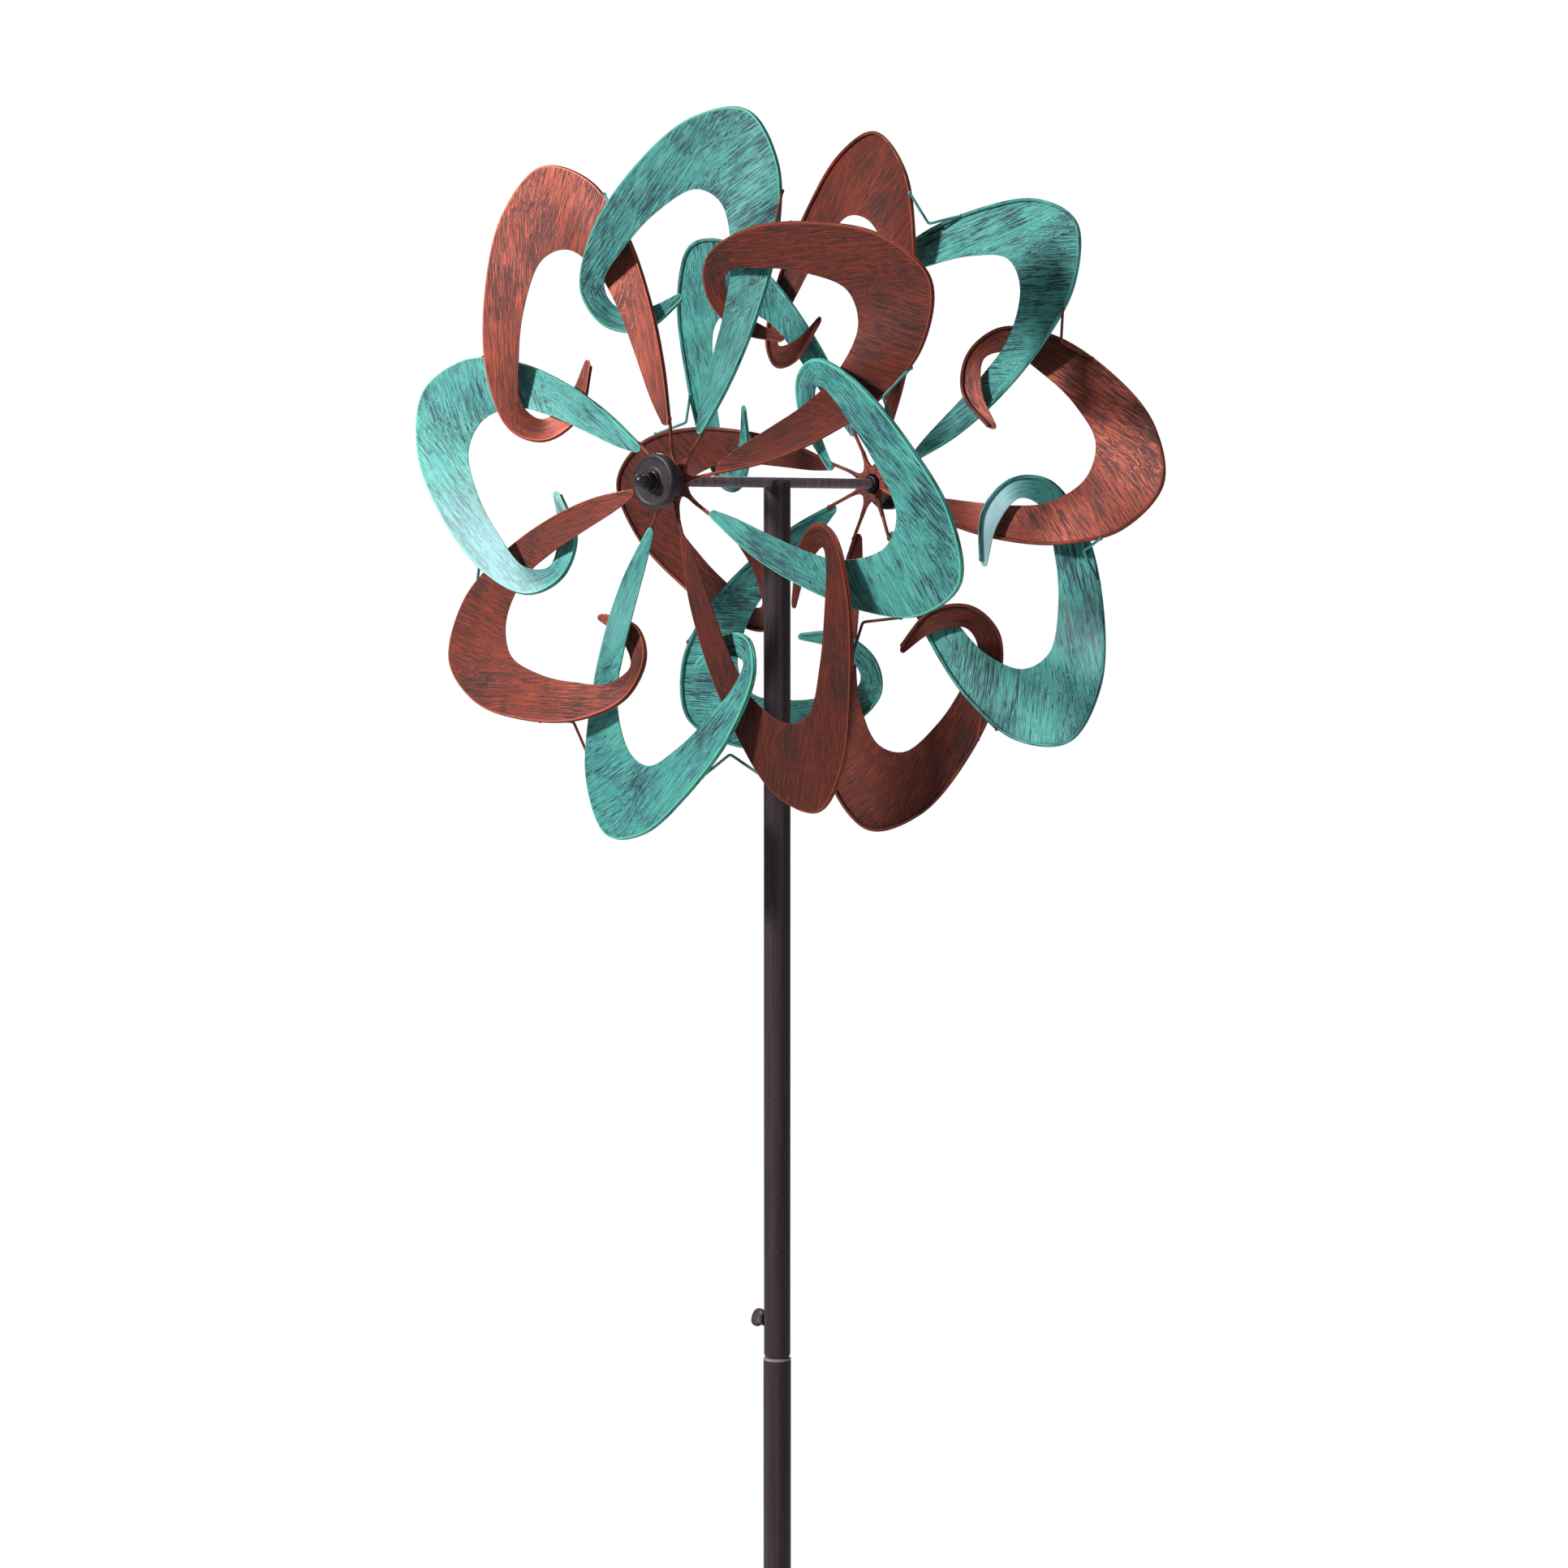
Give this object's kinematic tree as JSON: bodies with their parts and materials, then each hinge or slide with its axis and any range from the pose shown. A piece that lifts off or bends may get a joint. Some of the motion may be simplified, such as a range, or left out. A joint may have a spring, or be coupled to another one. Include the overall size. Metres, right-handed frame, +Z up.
{
  "type": "kinetic wind spinner",
  "caption": "Garden wind spinner: two contrary rotors of curled copper and verdigris metal blades on a horizontal axle, on a slim two-piece pole with a pronged foot.",
  "frame": {"origin": "middle of the foot plate's underside, level with the soil, on the pole's axis", "axes": "+Z up along the pole; +Y along the axle towards the back rotor, so the front rotor is at -Y; +X to the right when the front rotor is seen face on"},
  "size_m": [0.6162, 0.354, 2.1081],
  "materials": {
    "copper": "brushed copper-coloured lacquer on sheet steel, with dark brown streaks and orange-red highlights",
    "verdigris": "verdigris green lacquer on sheet steel, with dark blue-grey brush streaks and pale worn edges",
    "pole_paint": "satin dark brown powder coat",
    "cap_paint": "satin slate grey paint",
    "nut_black": "glossy black-oxide steel",
    "steel": "bright bearing steel"
  },
  "bodies": {
    "root": {"foot_plate": "pole_paint", "foot_prong_1": "pole_paint", "foot_prong_2": "pole_paint", "foot_prong_3": "pole_paint", "foot_prong_4": "pole_paint", "lower_pole": "pole_paint", "pole_spigot": "steel"},
    "mast": {"upper_pole": "pole_paint", "axle": "pole_paint", "clamp_boss": "pole_paint", "front_bearing_inner_ring": "steel", "front_shaft_collar": "pole_paint", "front_dome_nut": "nut_black", "back_bearing_inner_ring": "steel", "back_shaft_collar": "pole_paint", "back_dome_nut": "nut_black"},
    "clamp_screw": {"clamp_screw": "pole_paint"},
    "front_rotor": {"front_blade_1": "verdigris", "front_blade_2": "copper", "front_blade_3": "verdigris", "front_blade_4": "copper", "front_blade_5": "verdigris", "front_blade_6": "copper", "front_blade_7": "verdigris", "front_blade_8": "copper", "front_rim_rod_1": "verdigris", "front_rim_rod_2": "copper", "front_rim_rod_3": "verdigris", "front_rim_rod_4": "copper", "front_rim_rod_5": "verdigris", "front_rim_rod_6": "copper", "front_rim_rod_7": "verdigris", "front_rim_rod_8": "copper", "front_hub_star": "copper", "front_hub_barrel": "pole_paint", "front_hub_cap": "cap_paint", "front_bearing_outer_ring": "steel", "front_bearing_balls": "steel"},
    "back_rotor": {"back_blade_1": "copper", "back_blade_2": "verdigris", "back_blade_3": "copper", "back_blade_4": "verdigris", "back_blade_5": "copper", "back_blade_6": "verdigris", "back_blade_7": "copper", "back_blade_8": "verdigris", "back_rim_rod_1": "copper", "back_rim_rod_2": "verdigris", "back_rim_rod_3": "copper", "back_rim_rod_4": "verdigris", "back_rim_rod_5": "copper", "back_rim_rod_6": "verdigris", "back_rim_rod_7": "copper", "back_rim_rod_8": "verdigris", "back_hub_star": "copper", "back_hub_barrel": "pole_paint", "back_hub_cap": "cap_paint", "back_bearing_outer_ring": "steel", "back_bearing_balls": "steel"}
  },
  "joints": [
    {"name": "mast_swivel", "type": "hinge", "parent": "root", "child": "mast", "pos_m": [0, 0, 0.842], "axis": [0, 0, 1], "continuous": true},
    {"name": "clamp_screw_turn", "type": "hinge", "parent": "mast", "child": "clamp_screw", "pos_m": [0, 0, 0.8735], "axis": [-1, 0, 0], "range_deg": [0, 360]},
    {"name": "front_rotor_spin", "type": "hinge", "parent": "mast", "child": "front_rotor", "pos_m": [0, -0.131, 1.6], "axis": [0, 1, 0], "continuous": true},
    {"name": "back_rotor_spin", "type": "hinge", "parent": "mast", "child": "back_rotor", "pos_m": [0, 0.131, 1.6], "axis": [0, 1, 0], "continuous": true}
  ]
}
